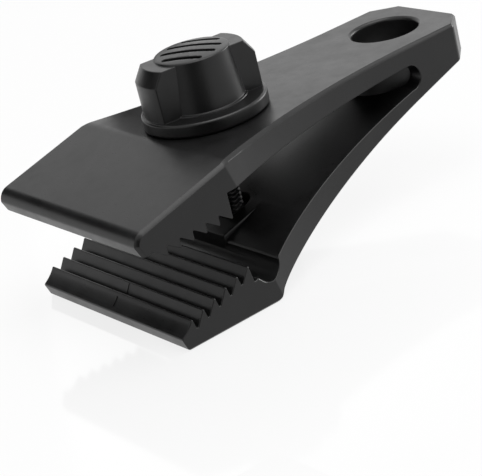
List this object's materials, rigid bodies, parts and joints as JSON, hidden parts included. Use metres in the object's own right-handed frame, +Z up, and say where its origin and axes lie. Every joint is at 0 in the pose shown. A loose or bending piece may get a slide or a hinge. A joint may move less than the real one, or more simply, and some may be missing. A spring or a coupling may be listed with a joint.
{
  "type": "tarp clip",
  "caption": "Black plastic tarp clip: toothed spring jaws that a winged thumb screw draws together on a sheet, with an eyelet at the tail for a cord or hook.",
  "frame": {"origin": "middle of the outline, on the plane that the flat base of the lower jaw stands on", "axes": "+X across the jaws, +Y from the nose to the tail with the eyelet, +Z up along the screw and the eyelet"},
  "size_m": [0.044, 0.0856, 0.04],
  "materials": {
    "body": "satin black nylon",
    "knob": "satin black nylon",
    "steel": "black-oxide steel"
  },
  "bodies": {
    "upper_body": {"upper_body": "body"},
    "lower_jaw": {"lower_jaw": "body"},
    "knob": {"knob": "knob", "screw": "steel"},
    "nut": {"nut": "steel"}
  },
  "joints": [
    {"name": "knob_turn", "type": "hinge", "parent": "upper_body", "child": "knob", "pos_m": [0, -0.0102, 0.0277], "axis": [0, 0, -1], "range_deg": [0, 2700]},
    {"name": "jaw_close", "type": "hinge", "parent": "upper_body", "child": "lower_jaw", "pos_m": [0, 0.0084, 0.01486], "axis": [-1, 0, 0], "range_deg": [0, 14.51]},
    {"name": "nut_travel", "type": "slide", "parent": "upper_body", "child": "nut", "axis": [0, 0, 1], "range_m": [0, 0.00601]}
  ],
  "couplings": [
    {"joint": "jaw_close", "follows": "knob_turn", "ratio": 0.0053704},
    {"joint": "nut_travel", "follows": "knob_turn", "m_per_rad": 0.00012732}
  ]
}
